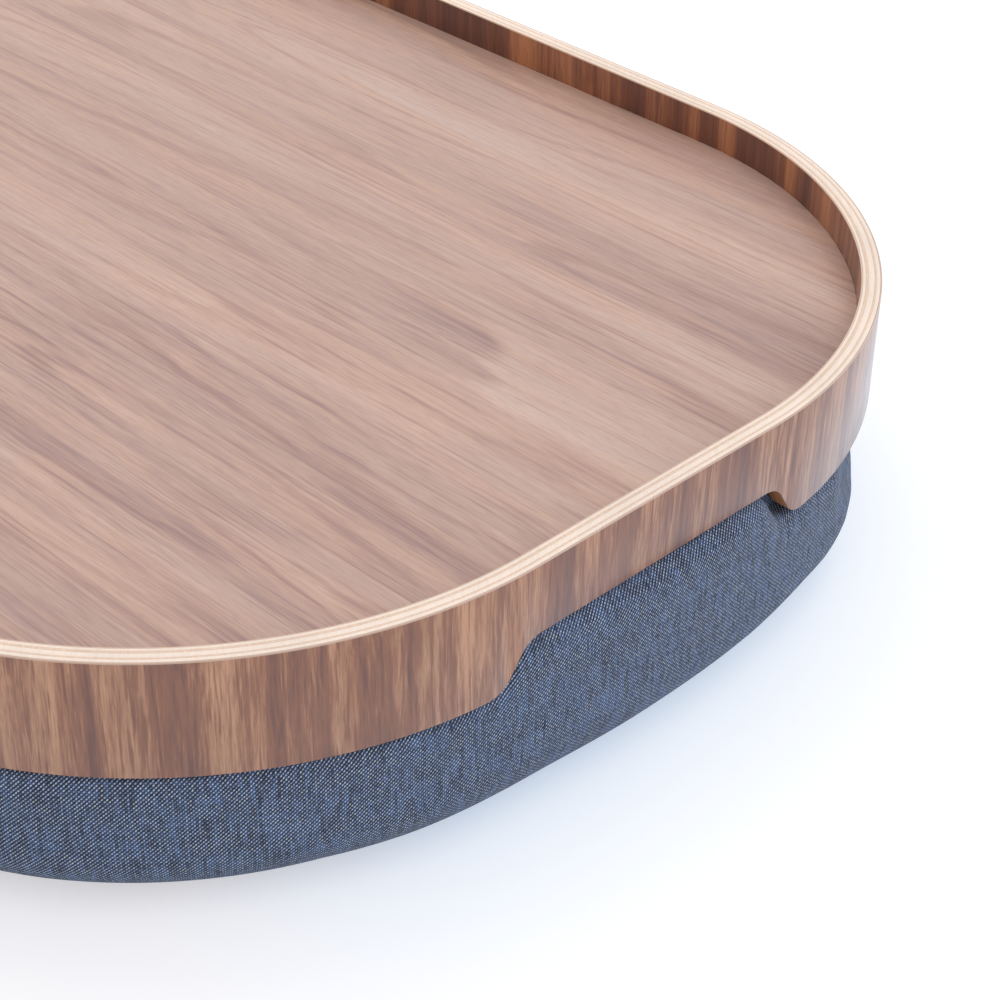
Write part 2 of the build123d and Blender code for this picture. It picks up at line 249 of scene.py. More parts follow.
def new_tree(kind, name, inputs, outputs):
    """A node group; a socket's kind is a word, or follows from its default: a number or a colour."""
    tree = bpy.data.node_groups.new(name, kind)
    for way, sockets in (("INPUT", inputs), ("OUTPUT", outputs)):
        for socket_name, default in sockets.items():
            word = default if isinstance(default, str) else "Color" if isinstance(default, tuple) else "Float"
            socket = tree.interface.new_socket(socket_name, in_out=way, socket_type="NodeSocket" + word)
            if word is not default:
                socket.default_value = default
    nodes = Nodes(tree)
    given = {socket.name: Value(nodes, socket) for socket in nodes.add("NodeGroupInput").outputs}
    return nodes, given, nodes.add("NodeGroupOutput").inputs


def new_piece(name, mesh):
    piece = bpy.data.objects.new(name, mesh)
    bpy.context.scene.collection.objects.link(piece)
    return piece


def outward(mesh):
    """Turns a closed mesh's faces outwards."""
    work = bmesh.new()
    work.from_mesh(mesh)
    bmesh.ops.recalc_face_normals(work, faces=work.faces)
    work.to_mesh(mesh)
    work.free()


def dress_nodes(finishes):
    """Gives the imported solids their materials."""
    for name, material in finishes.items():
        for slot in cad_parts[name].material_slots:
            slot.material = bpy.data.materials[material]


def sizes():
    return bpy.context.scene.lap_tray_sizes


def cushion_sizes():
    return bpy.context.scene.lap_cushion_sizes


def zip_sizes():
    return bpy.context.scene.lap_zip_sizes


# Shader node groups

def veneer_group():
    """Sliced walnut along X: bands, growth lines, hair lines, fibres, pores and a warm and cool drift."""
    nodes, source, result = new_tree("ShaderNodeTree", "Walnut veneer", {
        "Vector": "Vector", "Light": WHITE, "Middle": GREY, "Dark": BLACK, "Band Width": 0.03,
        "Band Depth": 1.0, "Line Width": 0.005, "Line Depth": 1.0, "Hair Depth": 1.0, "Drift": 0.5,
        "Pores": 0.35, "Dash": 1.0, "Rings": 0.0, "Pocket": 0.0, "Lift": 0.0,
    }, {"Color": "Color", "Roughness": "Float", "Height": "Float"})

    # The grain wanders slowly, and a little in short waves
    slow = nodes.noise(nodes.stretch(source["Vector"], (3.0, 7.0, 7.0)), detail=0.0)
    short = nodes.noise(nodes.stretch(source["Vector"], (28.0, 60.0, 60.0)), detail=1.0)
    wander = (slow - 0.5) * 0.022 + (short - 0.5) * 0.0017
    bent = nodes.vectors("ADD", source["Vector"], nodes.join(0.0, wander, wander))

    def streaks(length, width, detail, roughness, distortion=0.0, dash=1.0):
        across = nodes.math("DIVIDE", 1.0, width)
        scale = nodes.join(nodes.math("DIVIDE", 1 / length, dash), across, across)
        return nodes.noise(nodes.stretch(bent, scale), 1.0, detail, roughness, distortion)

    band = streaks(0.45, source["Band Width"], 1.0, 0.5, 0.35)
    line = streaks(0.20, source["Line Width"], 3.0, 0.6, 0.25)
    hair = streaks(0.08, 0.0015, 3.0, 0.7, 0.1, source["Dash"])
    score = streaks(0.11, 0.0011, 1.0, 0.6, 0.15, source["Dash"])
    fibre = streaks(0.012, 0.0005, 1.0, 0.6)
    drift = streaks(0.12, 0.012, 2.0, 0.6, 0.3)
    pore = streaks(0.005, 0.00032, 0.0, 0.5)
    tone = (band - 0.5) * source["Band Depth"] + (line - 0.5) * source["Line Depth"]
    tone = tone + (hair - 0.5) * source["Hair Depth"]

    # Thin dark growth rings, at even steps of the band's tone
    rings = nodes.ramp(nodes.math("SINE", band * 80.0), (0.2, 1.0, 0.0, 1.0))
    rings = rings * nodes.ramp(drift, (0.35, 0.65, -0.05, -0.30))
    tone = tone + rings * source["Rings"]

    # A pale pocket of flat-sawn wood near one end, ragged where the fibres leave it, with dark edges
    along, aside, _ = nodes.split(source["Vector"])
    ragged = (line - 0.5) * 0.045
    height = aside + ragged * 0.3
    past = along + aside * 0.9 + ragged
    open_end = nodes.ramp(past, (0.192, 0.204, 0.0, 1.0))
    above = nodes.ramp(height, (0.008, 0.014, 0.0, 1.0))
    between = above * nodes.ramp(height, (0.036, 0.046, 1.0, 0.0))
    pocket = between * open_end
    before = nodes.ramp(past, (0.145, 0.185, 0.0, 1.0)) * (1.0 - open_end) * between
    under = nodes.ramp(height, (0.004, 0.010, 0.0, 1.0)) - above
    dark = under * nodes.ramp(past, (0.165, 0.195, 0.0, 1.0)) + before
    figured = tone * (1.0 - pocket * 0.6) + pocket * 0.24 - dark * 0.10
    tone = tone + (figured - tone) * source["Pocket"]

    # Fibres and scored lines, then the tone picks the colour
    tone = tone + (fibre - 0.5) * 0.5
    scored = nodes.ramp(score, (0.30, 0.44, 1.0, 0.0))
    tone = tone - scored * source["Hair Depth"] * 0.28
    # The lift raises the whole tone; walnut() feeds it painted light round one corner of the rim
    tone = nodes.math("ADD", tone, source["Lift"] + 0.54, clamp=True)
    lower = nodes.mix(nodes.math("MULTIPLY", tone, 2.0, clamp=True), source["Dark"], source["Middle"])
    wood = nodes.mix(nodes.math("MULTIPLY_ADD", tone, 2.0, -1.0, clamp=True), lower, source["Light"])
    tint = nodes.mix(nodes.ramp(drift, (0.36, 0.64, 0.0, 1.0)),
                     (0.97, 0.975, 1.02, 1.0), (1.05, 0.995, 0.94, 1.0))
    wood = nodes.mix(source["Drift"], wood, nodes.mix(1.0, wood, tint, "MULTIPLY"))
    open_pores = nodes.ramp(pore, (0.58, 0.74, 0.0, 1.0))
    nodes.fill(result, {
        "Color": nodes.mix(open_pores * source["Pores"], wood, nodes.mix(0.5, wood, source["Dark"])),
        "Roughness": fibre * 0.16 + 0.30,
        "Height": fibre - open_pores * 0.6,
    })


def weave_group():
    """Plain weave on a flat map in metres: pale upright threads that show as dots on a dark ground."""
    nodes, source, result = new_tree("ShaderNodeTree", "Plain weave", {
        "Vector": "Vector", "Pitch": 0.0006, "Ground": BLACK, "Heather": (0.0, 0.0, 1.0, 1.0),
        "Dots": WHITE, "Slant": 0.35,
    }, {"Color": "Color", "Height": "Float"})

    # One thread to each whole number of the map, the warp's columns leaning by the slant
    wobble = (nodes.noise(source["Vector"], scale=300.0, detail=1.0) - 0.5) * 0.0004
    moved = nodes.vectors("ADD", source["Vector"], nodes.join(wobble, wobble))
    x, y, _ = nodes.split(nodes.scaled(moved, 1.0 / source["Pitch"]))
    row = nodes.math("FLOOR", y)
    along = nodes.math("FRACT", y) - 0.5
    leant = x - along * source["Slant"]
    column = nodes.math("FLOOR", leant)
    across = nodes.math("FRACT", leant) - 0.5

    # A dot is an oval on every other crossing
    parity = nodes.math("FLOORED_MODULO", column + row, 2.0)
    wide = nodes.math("POWER", nodes.math("ABSOLUTE", across) / 0.40, 2.0)
    tall = nodes.math("POWER", nodes.math("ABSOLUTE", along) / 0.56, 2.0)
    dot = parity * nodes.ramp(wide + tall, (0.45, 1.15, 1.0, 0.0))
    weft_round = nodes.math("COSINE", along * pi)

    # Every thread has its own tone, and some crossings a yellow fleck
    warp_tone = nodes.noise(nodes.join(column * 0.83, y * 0.045), 1.0, 2.0, 0.7)
    weft_tone = nodes.noise(nodes.join(x * 0.05, row * 0.83), 1.0, 1.0, 0.6)
    cloud = nodes.noise(source["Vector"], scale=90.0, detail=2.0)
    fleck = nodes.out("ShaderNodeTexWhiteNoise", {"Vector": nodes.join(column, row)})
    blue = nodes.ramp((cloud - 0.5) * 0.25 + warp_tone, (0.42, 0.66, 0.0, 1.0))
    ground = nodes.mix(blue * 0.7, source["Ground"], source["Heather"])
    # The ground is also darker towards the edges of each weft thread, by its roundness: painted shade between
    # the threads
    ground = nodes.scaled(ground, ((weft_tone - 0.5) * 2.0 + 0.95) * (weft_round * 0.7 + 0.4))
    pale = nodes.mix(blue * 0.35, source["Dots"], source["Heather"])
    yellowed = nodes.mix(1.0, pale, (1.1, 1.0, 0.72, 1.0), "MULTIPLY")
    pale = nodes.mix(nodes.math("GREATER_THAN", fleck, 0.93) * 0.8, pale, yellowed)
    pale = nodes.scaled(pale, fleck * 0.7 + ((warp_tone - 0.5) * 2.2 + 0.62))
    nodes.fill(result, {"Color": nodes.mix(dot, ground, pale), "Height": dot * 0.8 + weft_round * 0.5})


# Finishes

def new_material(name, inputs):
    """A material, its nodes and its main shader with the given inputs."""
    material = bpy.data.materials.new(name)
    material.use_nodes = True
    nodes = Nodes(material.node_tree)
    shader = material.node_tree.nodes["Principled BSDF"]
    nodes.fill(shader.inputs, inputs)
    return material, nodes, shader


def bump(nodes, shader, height, distance, strength):
    relief = nodes.out("ShaderNodeBump", {"Height": height, "Distance": distance, "Strength": strength})
    nodes.feed(shader.inputs["Normal"], relief)


def walnut(name, shades, turn, band, line, hair, drift, pores, offset=(0, 0, 0), coat=0.25, dash=1.0,
           lip=None, figure=(0.0, 0.0), corner_painted_light=0.0, calm_end=0.0):
    """A lacquered veneer, its grain along X before the turn; band and line are a width and a depth.

    The figure is how far growth rings and a pale flat-sawn pocket show, the corner's painted light is how
    much lighter the veneer is painted round the tray's corner on the right, standing in for the sheen and
    light that fall there, and the calm end is how much plainer it gets towards the far end.
    """
    _, nodes, shader = new_material(name, {
        "Specular IOR Level": 0.3, "Coat Weight": coat, "Coat Roughness": 0.25,
        "Sheen Weight": 0.14 * coat, "Sheen Roughness": 0.3})
    place = nodes.place()
    grain = nodes.out("ShaderNodeMapping", {"Vector": place, "Location": offset, "Rotation": turn})
    light, middle, dark = (colour(shade) for shade in shades)
    veneer = nodes.add("ShaderNodeGroup", {
        "Vector": grain, "Light": light, "Middle": middle, "Dark": dark,
        "Band Width": band[0], "Line Width": line[0], "Drift": drift, "Pores": pores, "Dash": dash,
        "Rings": figure[0], "Pocket": figure[1],
    }, node_tree=bpy.data.node_groups["Walnut veneer"])
    depths = {"Band Depth": band[1], "Line Depth": line[1], "Hair Depth": hair}
    if calm_end:
        strength = nodes.ramp(nodes.dot(place, TO_FAR_END), (-0.10, 0.04, 1.0, 1.0 - calm_end))
        depths = {key: strength * depth for key, depth in depths.items()}
    nodes.fill(veneer.inputs, depths)
    # Painted light: the veneer's tone is raised round the tray's corner on the right, where sheen and light
    # fall on the rim
    if corner_painted_light:
        lift = nodes.ramp(nodes.dot(place, TO_RIGHT_CORNER), (0.215, 0.252, 0.0, corner_painted_light))
        nodes.feed(veneer.inputs["Lift"], lift)
    wood, roughness, height = (Value(nodes, output) for output in veneer.outputs)
    if lip:
        edge = nodes.ramp(nodes.split(place)[2], (RIM_HIGH.z - 0.5 * MM, RIM_HIGH.z - 0.2 * MM, 0.0, 0.85))
        wood = nodes.mix(edge, wood, colour(lip))
    nodes.fill(shader.inputs, {"Base Color": wood, "Roughness": roughness})
    bump(nodes, shader, height, 0.00004, 0.5)


def ply(name, shade, streak_length, contrast):
    """The sanded edge of one ply, pale along the top, with painted shade low down where the slots are sawn:
    darker and warmer, as with light bounced off the wood.
    """
    _, nodes, shader = new_material(name, {"Roughness": 0.55})
    along = nodes.out("ShaderNodeAttribute", output="Fac", attribute_name="along")
    whole = nodes.place()
    x, y, z = nodes.split(whole)
    fleck = nodes.noise(nodes.join(along / streak_length, (x + y) * 900.0, z * 700.0), 1.0, 2.0, 0.6)
    slow = nodes.noise(whole, scale=25.0, detail=2.0)
    tinted = nodes.scaled(shade, (slow - 0.5) * 0.25 + ((fleck - 0.5) * contrast + 1.0))
    # Painted shade: up to just above the slots' tops the plies are darkened and warmed, for the shade in the
    # slots and the warm light bounced into it
    painted_shade_colour = nodes.mix(1.0, tinted, (0.62, 0.30, 0.13, 1.0), "MULTIPLY")
    slot_shade_mask = nodes.ramp(z, (RIM_LOW.z + 14 * MM, RIM_LOW.z + 17 * MM, 1.0, 0.0))
    nodes.feed(shader.inputs["Base Color"], nodes.mix(slot_shade_mask, tinted, painted_shade_colour))
    bump(nodes, shader, fleck, 0.00004, 0.6)


def woven(name, ground, heather, dots, pitch, slant, sheen):
    """A plain-woven cloth on the piece's own map."""
    _, nodes, shader = new_material(name, {
        "Roughness": 0.85, "Specular IOR Level": 0.25, "Sheen Weight": sheen, "Sheen Roughness": 0.5})
    cloth = nodes.add("ShaderNodeGroup", {
        "Vector": nodes.out("ShaderNodeUVMap", uv_map="weave"), "Pitch": pitch, "Slant": slant,
        "Ground": colour(ground), "Heather": colour(heather), "Dots": colour(dots),
    }, node_tree=bpy.data.node_groups["Plain weave"])
    shown, height = (Value(nodes, output) for output in cloth.outputs)
    nodes.feed(shader.inputs["Base Color"], shown)
    bump(nodes, shader, height, 0.00012, 0.7)


def flat_cloth(name, shade, thread, contrast=0.6, sheen=0.1):
    """A fine cloth or tape, woven along the object's own axes."""
    _, nodes, shader = new_material(name, {"Roughness": 0.9, "Sheen Weight": sheen})
    place = nodes.place()
    waves = nodes.split(nodes.stretch(place, (2 * pi / thread,) * 3))
    x, y, z = (nodes.math("SINE", wave) for wave in waves)
    relief = x * z + x * y
    cloudy = nodes.noise(place, scale=180.0, detail=3.0)
    # The colour follows the thread relief: painted shade in the hollows between threads, painted light on
    # their crowns
    level = relief * 0.12 + ((cloudy - 0.5) * contrast + 1.0)
    nodes.feed(shader.inputs["Base Color"], nodes.scaled(shade, level))
    bump(nodes, shader, relief, 0.0001, 0.5)


def moulded(name, shade, roughness, metallic, grain):
    """Plastic or lacquered metal with a faint uneven surface."""
    _, nodes, shader = new_material(name, {"Metallic": metallic})
    speck = nodes.noise(nodes.place(), scale=grain, detail=3.0)
    nodes.fill(shader.inputs, {
        "Base Color": nodes.scaled(shade, (speck - 0.5) * 0.5 + 1.0),
        "Roughness": speck * 0.2 + (roughness - 0.1),
    })
    bump(nodes, shader, speck, 0.00003, 0.5)


class LAPTRAY_OT_finishes(bpy.types.Operator):
    """Makes every finish of the tray and the cushion"""
    bl_idname = "laptray.finishes"
    bl_label = "Finishes"

    def execute(self, context):
        shades, cushion = context.scene.lap_tray_colours, cushion_sizes()
        veneer_group()
        weave_group()
        level, upright = (0.0, 0.0, 0.0), (0.0, radians(90), 0.0)
        floor_shades = (shades.floor_light, shades.floor_mid, shades.floor_dark)
        rim_shades = (shades.rim_light, shades.rim_mid, shades.rim_dark)
        wall_shades = (shades.wall_light, shades.wall_mid, shades.wall_dark)
        walnut("Walnut floor", floor_shades, level, band=(0.030, 1.25), line=(0.009, 0.85), hair=0.8,
               drift=0.65, pores=0.45, dash=0.6, figure=(0.75, 1.0), calm_end=0.42)
        walnut("Walnut underside", floor_shades, level, band=(0.03, 0.8), line=(0.006, 1.0), hair=1.0,
               drift=0.6, pores=0.35, offset=(0, 0, 0.4))
        walnut("Walnut rim", rim_shades, upright, band=(0.010, 1.6), line=(0.003, 1.2), hair=1.2,
               drift=0.4, pores=0.6, offset=(0.3, 0.1, 0.0), coat=1.0, dash=0.2, lip=shades.rim_lip,
               corner_painted_light=0.22)
        walnut("Walnut wall", wall_shades, upright, band=(0.016, 2.2), line=(0.004, 1.2), hair=0.6,
               drift=0.6, pores=0.35, offset=(0.7, 0.4, 0.0), lip=shades.ply_cross)
        ply("Birch ply", shades.ply_face, 0.02, 0.2)
        ply("Birch cross ply", shades.ply_cross, 0.0008, 0.4)
        woven("Cushion cloth", shades.cloth_ground, shades.cloth_heather, shades.cloth_dots,
              cushion.thread_pitch, slant=0.45, sheen=0.1)
        flat_cloth("Lining cloth", shades.lining, 0.0008)
        flat_cloth("Liner cloth", (0.75, 0.75, 0.73), 0.001)
        flat_cloth("Loop tape", (0.02, 0.02, 0.022), 0.0012, 1.2, 0.4)
        flat_cloth("Zip tape", (0.035, 0.042, 0.06), 0.0009)
        flat_cloth("Sewing thread", (0.16, 0.19, 0.25), 0.0005)
        moulded("Hook tape", (0.015, 0.015, 0.016), roughness=0.5, metallic=0.0, grain=2500.0)
        moulded("Zip teeth", (0.05, 0.058, 0.08), roughness=0.4, metallic=0.0, grain=900.0)
        moulded("Zip metal", (0.16, 0.165, 0.18), roughness=0.35, metallic=0.9, grain=700.0)
        return {"FINISHED"}


# Outlines

def slot_lift(across):
    """How far the rim's lower edge rises at a distance from the middle of its short end."""
    tray = sizes()
    slope = atan2(tray.slot_height, tray.slot_run)
    reach = tray.slot_round * tan(slope / 2)
    middle = tray.slot_top_half + tray.slot_run / 2
    from_middle = middle - abs(across)
    left = max(tray.slot_run / 2 + reach - abs(from_middle), 0.0)
    if left < tray.slot_round * sin(slope):
        rise = tray.slot_height / 2 - tray.slot_round + sqrt(max(tray.slot_round ** 2 - left ** 2, 0.0))
    else:
        rise = abs(from_middle) * tray.slot_height / tray.slot_run
    return tray.slot_height / 2 + (rise if from_middle > 0 else -rise)


# The fold of a hem, between its edge row and the next
HEM_EDGE = 0.4 * MM


def stations(step, fine_step, hem_half_length):
    """Points round the rim's outline, close together at the slots, their normals and the distance run."""
    tray = sizes()
    radius = tray.corner_radius
    half_length, half_width = tray.length / 2, tray.width / 2
    end_half, side_half = half_width - radius, half_length - radius
    beside_slope = 9 * MM
    slope_start = tray.slot_top_half - beside_slope
    slope_end = tray.slot_top_half + tray.slot_run + beside_slope
    fine_turn = (slope_end - end_half) / radius
    hem_breaks = [-hem_half_length - 2 * HEM_EDGE, -hem_half_length, -hem_half_length + HEM_EDGE,
                  hem_half_length - HEM_EDGE, hem_half_length, hem_half_length + 2 * HEM_EDGE]
    back_breaks = [side_half] + [-x for x in hem_breaks] + [-side_half]
    points = []

    def straight(start, end, normal, spacing=step):
        start, end = np.array(start), np.array(end)
        count = max(1, round(float(np.hypot(*(end - start))) / spacing))
        for i in range(count):
            points.append((*(start + (end - start) * i / count), *normal))

    def corner(centre, start_turn):
        parts = [(0.0, fine_turn, fine_step), (fine_turn, pi / 2 - fine_turn, step),
                 (pi / 2 - fine_turn, pi / 2, fine_step)]
        for begin, finish, spacing in parts:
            if abs(sin(start_turn + (begin + finish) / 2)) > abs(sin(pi / 2 - fine_turn)):
                spacing = step
            count = max(1, round(radius * (finish - begin) / spacing))
            for i in range(count):
                turn = start_turn + begin + (finish - begin) * i / count
                x, y = cos(turn), sin(turn)
                points.append((centre[0] + radius * x, centre[1] + radius * y, x, y))

    straight((half_length, 0), (half_length, slope_start), (1, 0))
    straight((half_length, slope_start), (half_length, end_half), (1, 0), fine_step)
    corner((side_half, end_half), 0)
    for near, far in zip(back_breaks, back_breaks[1:]):
        straight((near, half_width), (far, half_width), (0, 1))
    corner((-side_half, end_half), pi / 2)
    straight((-half_length, end_half), (-half_length, slope_start), (-1, 0), fine_step)
    straight((-half_length, slope_start), (-half_length, -slope_start), (-1, 0))
    straight((-half_length, -slope_start), (-half_length, -end_half), (-1, 0), fine_step)
    corner((-side_half, -end_half), pi)
    straight((-side_half, -half_width), (side_half, -half_width), (0, -1))
    corner((side_half, -end_half), 3 * pi / 2)
    straight((half_length, -end_half), (half_length, -slope_start), (1, 0), fine_step)
    straight((half_length, -slope_start), (half_length, 0), (1, 0))
    table = np.array(points)
    gaps = np.hypot(*(np.roll(table[:, :2], -1, axis=0) - table[:, :2]).T)
    run = np.concatenate([[0.0], np.cumsum(gaps)])
    return table[:, :2], table[:, 2:], run


# The rim

SLOT_INPUTS = {"Slot Height": 0.013, "Slot Half Width": 0.05, "Slot Slope": 0.008, "Slot Rounding": 0.008}


def slot_lift_group():
    """The same rise as slot_lift, worked out for every point of a mesh."""
    nodes, source, result = new_tree("GeometryNodeTree", "Finger slot lift",
                                     {"Across": 0.0, **SLOT_INPUTS}, {"Lift": "Float"})
    height, run, rounding = source["Slot Height"], source["Slot Slope"], source["Slot Rounding"]
    half_run, half_height = run / 2.0, height / 2.0
    slope = nodes.math("ARCTAN2", height, run)
    reach = rounding * nodes.math("TANGENT", slope / 2.0)
    from_middle = source["Slot Half Width"] + half_run - nodes.math("ABSOLUTE", source["Across"])
    size = nodes.math("ABSOLUTE", from_middle)
    left = nodes.math("MAXIMUM", half_run + reach - size, 0.0)
    square = nodes.math("POWER", rounding, 2.0) - nodes.math("POWER", left, 2.0)
    on_arc = half_height - rounding + nodes.math("SQRT", nodes.math("MAXIMUM", square, 0.0))
    on_line = size * (height / run)
    is_arc = nodes.math("LESS_THAN", left, rounding * nodes.math("SINE", slope))
    rise = is_arc * on_arc + (1.0 - is_arc) * on_line
    nodes.feed(result["Lift"], half_height + rise * nodes.math("SIGN", from_middle))


def give_out(nodes, result, geometry, material):
    """Ends a geometry node tree with real faces and their material."""
    real = nodes.out("GeometryNodeRealizeInstances", {"Geometry": geometry})
    dressed = nodes.out("GeometryNodeSetMaterial", {"Geometry": real, "Material": material})
    nodes.feed(result["Geometry"], dressed)


def rim_layer_group():
    """One layer of the bent rim: a section swept round the tray, its lower edge lifted at the slots."""
    nodes, source, result = new_tree("GeometryNodeTree", "Bent rim layer", {
        "Geometry": "Geometry", "Length": 0.5, "Width": 0.3, "Corner Radius": 0.1, "Inset": 0.0,
        "Thickness": 0.001, "Bottom": 0.0, "Top": 0.03, "Edge Rounding": 0.0001, "Step": 0.001,
        **SLOT_INPUTS, "Material": "Material",
    }, {"Geometry": "Geometry"})

    def rounded(width, height, radius, count):
        shape = nodes.out("GeometryNodeCurvePrimitiveQuadrilateral", {"Width": width, "Height": height})
        return nodes.out("GeometryNodeFilletCurve", {"Curve": shape, "Radius": radius, "Count": count},
                         mode="POLY")

    # The middle line of the layer, seen from above
    middle = source["Thickness"] * 0.5 + source["Inset"]
    plan = rounded(middle * -2.0 + source["Length"], middle * -2.0 + source["Width"],
                   source["Corner Radius"] - middle, 128)
    plan = nodes.out("GeometryNodeResampleCurve", {"Curve": plan, "Length": source["Step"]}, mode="LENGTH")
    plan = nodes.out("GeometryNodeSetCurveNormal", {"Curve": plan}, mode="Z_UP")
    held = nodes.add("GeometryNodeCaptureAttribute", {0: plan}, domain="POINT")
    held.capture_items.new("FLOAT", "Along")
    nodes.feed(held.inputs["Along"], nodes.out("GeometryNodeSplineParameter", output="Length"))

    # The section goes round it, and keeps the distance along it for the plies' grain
    section = rounded(source["Thickness"], source["Top"] - source["Bottom"], source["Edge Rounding"], 2)
    band = nodes.out("GeometryNodeCurveToMesh", {
        "Curve": Value(nodes, held.outputs[0]), "Profile Curve": section})
    marked = nodes.out("GeometryNodeStoreNamedAttribute", {
        "Geometry": band, "Name": "along", "Value": Value(nodes, held.outputs["Along"]),
    }, data_type="FLOAT", domain="POINT")
    _, across, up = nodes.split(nodes.out("GeometryNodeInputPosition"))
    lift = nodes.add("GeometryNodeGroup", node_tree=bpy.data.node_groups["Finger slot lift"])
    nodes.fill(lift.inputs, {"Across": across, **{name: source[name] for name in SLOT_INPUTS}})
    centre = (source["Top"] + source["Bottom"]) * 0.5
    rise = Value(nodes, lift.outputs[0]) * nodes.math("LESS_THAN", up, 0.0) + centre
    moved = nodes.out("GeometryNodeSetPosition", {"Geometry": marked, "Offset": nodes.join(0.0, 0.0, rise)})
    give_out(nodes, result, moved, source["Material"])
    return nodes.tree


def grown(name, tree, values, mesh=None):
    """A plain mesh object made by a geometry node tree with the given inputs."""
    piece = new_piece(name, mesh or bpy.data.meshes.new(name))
    modifier = piece.modifiers.new("Build", "NODES")
    modifier.node_group = tree
    identifiers = {item.name: item.identifier for item in tree.interface.items_tree
                   if item.in_out == "INPUT"}
    for key, value in values.items():
        modifier[identifiers[key]] = value
    bpy.context.view_layer.update()
    built = piece.evaluated_get(bpy.context.evaluated_depsgraph_get())
    plain = bpy.data.meshes.new_from_object(built)
    piece.modifiers.remove(modifier)
    piece.data = plain
    plain.name = name
    return piece


class LAPTRAY_OT_rim(bpy.types.Operator):
    """Makes the bent rim's veneers and plies"""
    bl_idname = "laptray.rim"
    bl_label = "Bent rim"

    def execute(self, context):
        tray = sizes()
        slot_lift_group()
        tree = rim_layer_group()
        layers = {
            "rim_outer_veneer": "Walnut rim",
            "rim_outer_ply": "Birch ply",
            "rim_outer_cross_ply": "Birch cross ply",
            "rim_core_ply": "Birch ply",
            "rim_inner_cross_ply": "Birch cross ply",
            "rim_inner_ply": "Birch ply",
            "rim_inner_veneer": "Walnut wall",
            "rim_lower_inner_veneer": "Walnut wall",
        }
        insets = {name: RIM_HIGH.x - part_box(name)[1].x for name in layers}
        edges = sorted(set(round(inset, 6) for inset in insets.values())) + [tray.rim_thickness]
        hair_gap = 0.01 * MM
        for name, material in layers.items():
            low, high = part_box(name)
            inset = insets[name]
            inner = min(edge for edge in edges if edge > inset + hair_gap)
            above_groove = low.z >= TONGUE_HIGH.z - hair_gap
            piece = grown(name + "_dressed", tree, {
                "Length": tray.length, "Width": tray.width, "Corner Radius": tray.corner_radius,
                "Inset": inset, "Thickness": inner - inset, "Bottom": low.z, "Top": high.z,
                "Edge Rounding": tray.edge_round if "veneer" in name else tray.edge_round / 3,
                "Step": tray.ring_step, "Slot Height": 0.0 if above_groove else tray.slot_height,
                "Slot Half Width": tray.slot_top_half, "Slot Slope": tray.slot_run,
                "Slot Rounding": tray.slot_round, "Material": bpy.data.materials[material],
            })
            outward(piece.data)
            piece.data.shade_smooth()
            piece.data.set_sharp_from_angle(angle=radians(30))
            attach(piece, "tray")
            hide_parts(name)
        return {"FINISHED"}


class LAPTRAY_OT_floor(bpy.types.Operator):
    """Finishes the tray's floor panel and the strips under it"""
    bl_idname = "laptray.floor"
    bl_label = "Floor panel"

    def execute(self, context):
        dress_nodes({
            "floor_top_veneer": "Walnut floor",
            "floor_upper_ply": "Birch ply",
            "floor_core_ply": "Birch cross ply",
            "floor_lower_ply": "Birch ply",
            "floor_bottom_veneer": "Walnut underside",
            "hook_strips": "Hook tape",
            "loop_strips": "Loop tape",
        })
        return {"FINISHED"}


# The cushion

# The cover's plug in the rim and the side under it: how far out from the rim, and how high, in mm
PLUG_ROWS = [(-9.4, 58.7), (-8.2, 58.5), (-7.5, 58.0), (-7.2, 57.2), (-7.1, 55.5), (-7.1, 53.5),
             (-7.1, 51.5), (-7.1, 49.5), (-7.1, 47.5), (-7.1, 45.8), (-7.0, 44.5), (-6.7, 43.75),
             (-5.6, 43.55), (-4.2, 43.5), (-2.9, 43.35), (-1.9, 43.0), (-1.2, 42.4), (-0.7, 41.5),
             (-0.35, 40.3), (-0.1, 39.0), (0.0, 37.5), (0.0, 36.0), (0.0, 34.4)]
# How far the cushion's widest line stands past the rim, in mm, by the way the rim faces, in degrees
# from its end
FRONT_SPREAD = [(0, -0.6), (15, -0.6), (25, -1.1), (35, -0.2), (45, 0.7), (55, 1.4), (90, 1.4)]
BACK_SPREAD = [(0, -0.6), (12, -0.4), (18, 0.4), (23, 0.2), (28, -1.0), (32, -2.4), (38, -3.4),
               (62, -3.4), (80, 0.8), (90, 0.8)]
# The same for how far it is drawn in right under the rim at the back
BACK_TUCK = [(0, 0.0), (17, 0.0), (21, -2.2), (25, -4.0), (30, -4.2), (38, -3.6), (60, -3.2), (80, 0.0),
             (90, 0.0)]
# Angles in degrees of the rows that turn under, from the widest line, with the seam among them
SEAM_ANGLE = 58.0
UNDER_ANGLES = (7, 14, 21, 28, 35, 42, 48, 53, 56.5, 57.6, SEAM_ANGLE, 58.4, 59.5, 62, 66, 71, 77, 84, 90)


def side_rows(hem_low, hem_high, widest):
    """Heights of the level rows of the side, with close pairs at the zip's two hems."""
    inside = 2.5 * MM
    return [hem_high + 2 * HEM_EDGE, hem_high, hem_high - HEM_EDGE,
            *np.linspace(hem_high - inside, hem_low + inside, 3),
            hem_low + HEM_EDGE, hem_low, hem_low - 2 * HEM_EDGE, widest]


